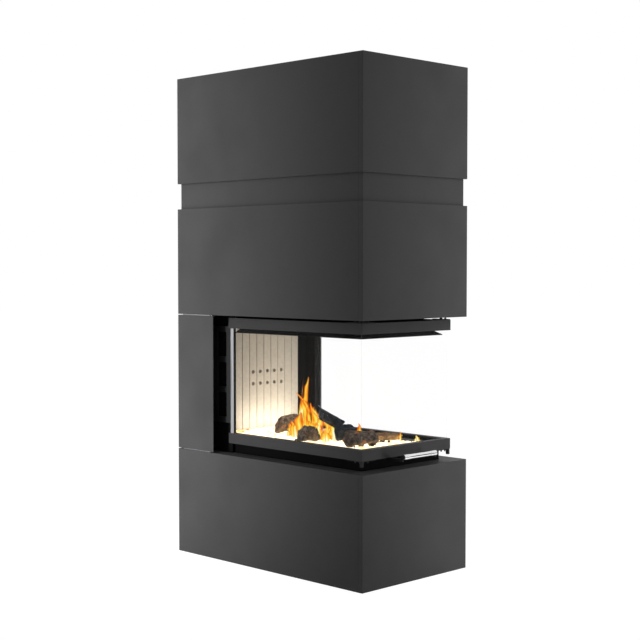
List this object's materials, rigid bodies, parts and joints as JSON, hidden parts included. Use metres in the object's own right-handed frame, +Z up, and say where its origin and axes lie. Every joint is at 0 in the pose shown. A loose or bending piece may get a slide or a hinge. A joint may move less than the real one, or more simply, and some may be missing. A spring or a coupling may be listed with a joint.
{
  "type": "fireplace insert",
  "caption": "Tall three-sided fireplace insert with a guillotine glass door, ribbed ceramic back, log fire, smoke dome and steel casing.",
  "frame": {"origin": "on the floor, at the centre of the bounding box's footprint, handle included", "axes": "+Z up; -Y towards the short glazed front with the handle; +Y towards the open back; +X to the right, seen from the front"},
  "size_m": [0.67, 1.209, 2.2],
  "materials": {
    "casing_paint": "satin dark grey powder coat",
    "door_paint": "satin dark grey heat-resistant paint",
    "stove_paint": "matt black heat-resistant paint",
    "frame_steel": "matt black paint",
    "clear_glass": "clear heat-resistant glass ceramic",
    "clear_joint": "clear silicone",
    "bright_channel": "brushed stainless steel",
    "chrome_tube": "polished",
    "satin_steel": "brushed stainless steel",
    "machined_steel": "machined, oiled",
    "bronze": "sintered bronze",
    "zinc_steel": "zinc plated",
    "weight_steel": "rough cast",
    "cast_grate": "sooted cast iron",
    "fire_brick": "pressed fire brick",
    "vermiculite": "pressed vermiculite",
    "ceramic": "matt heat-resistant ceramic",
    "glowing_embers": "glowing charcoal and ash",
    "glass_rope": "braided glass-fibre rope",
    "charred_wood": "charred split log"
  },
  "bodies": {
    "insert": {"base_front_panel": "casing_paint", "base_side_panels": "casing_paint", "base_top_plate": "casing_paint", "column_panels": "casing_paint", "gap_spacers": "zinc_steel", "hood_front_panel": "casing_paint", "hood_side_panels": "casing_paint", "band_panels": "casing_paint", "upper_front_panel": "casing_paint", "upper_side_panels": "casing_paint", "top_plate": "casing_paint", "rear_frame": "frame_steel", "stand": "frame_steel", "screw_feet": "zinc_steel", "floor_tray": "stove_paint", "air_box": "stove_paint", "fire_bricks": "fire_brick", "ash_pan": "stove_paint", "fire_grate": "cast_grate", "hearth_border": "stove_paint", "ember_bed": "glowing_embers", "rear_shell": "stove_paint", "heat_shield": "zinc_steel", "ceramic_panel": "ceramic", "dome_frame": "stove_paint", "baffles": "vermiculite", "smoke_dome": "stove_paint", "air_wash_trim": "stove_paint", "seal_plate": "stove_paint", "rope_seals": "glass_rope", "guide_rods": "machined_steel", "bearing_brackets": "frame_steel", "shaft_bushes": "bronze", "lift_cables": "zinc_steel", "back_log": "charred_wood", "left_log": "charred_wood", "middle_log": "charred_wood", "front_log": "charred_wood", "thin_log": "charred_wood", "leaning_log": "charred_wood"},
    "door": {"door_bottom_bar": "door_paint", "door_top_bar": "door_paint", "front_glass": "clear_glass", "side_glass": "clear_glass", "glass_joints": "clear_joint", "glass_channels": "bright_channel", "corner_brackets": "frame_steel", "frame_studs": "zinc_steel", "handle_tube": "chrome_tube", "handle_sleeves": "satin_steel", "handle_arms": "frame_steel", "carriages": "frame_steel", "guide_bushes": "bronze"},
    "weight_left": {"left_counterweight": "weight_steel"},
    "weight_right": {"right_counterweight": "weight_steel"},
    "cable_shaft": {"sync_shaft": "machined_steel", "top_sheaves": "machined_steel"},
    "lower_wheels": {"lower_sheaves": "machined_steel"},
    "air_control": {"air_slide": "stove_paint"}
  },
  "joints": [
    {"name": "door_lift", "type": "slide", "parent": "insert", "child": "door", "axis": [0, 0, 1], "range_m": [0, 0.51]},
    {"name": "weight_left_run", "type": "slide", "parent": "insert", "child": "weight_left", "axis": [0, 0, 1], "range_m": [-0.51, 0]},
    {"name": "weight_right_run", "type": "slide", "parent": "insert", "child": "weight_right", "axis": [0, 0, 1], "range_m": [-0.51, 0]},
    {"name": "cable_shaft_spin", "type": "hinge", "parent": "insert", "child": "cable_shaft", "pos_m": [0, 0.5095, 1.65], "axis": [1, 0, 0], "range_deg": [-735, 0]},
    {"name": "lower_sheave_spin", "type": "hinge", "parent": "insert", "child": "lower_wheels", "pos_m": [0, 0.5095, 0.56], "axis": [1, 0, 0], "range_deg": [-735, 0]},
    {"name": "air_slide_run", "type": "slide", "parent": "insert", "child": "air_control", "axis": [1, 0, 0], "range_m": [-0.03, 0.03]}
  ],
  "couplings": [
    {"joint": "weight_left_run", "follows": "door_lift", "ratio": -1},
    {"joint": "weight_right_run", "follows": "door_lift", "ratio": -1},
    {"joint": "cable_shaft_spin", "follows": "door_lift", "rad_per_m": -25},
    {"joint": "lower_sheave_spin", "follows": "door_lift", "rad_per_m": -25}
  ]
}
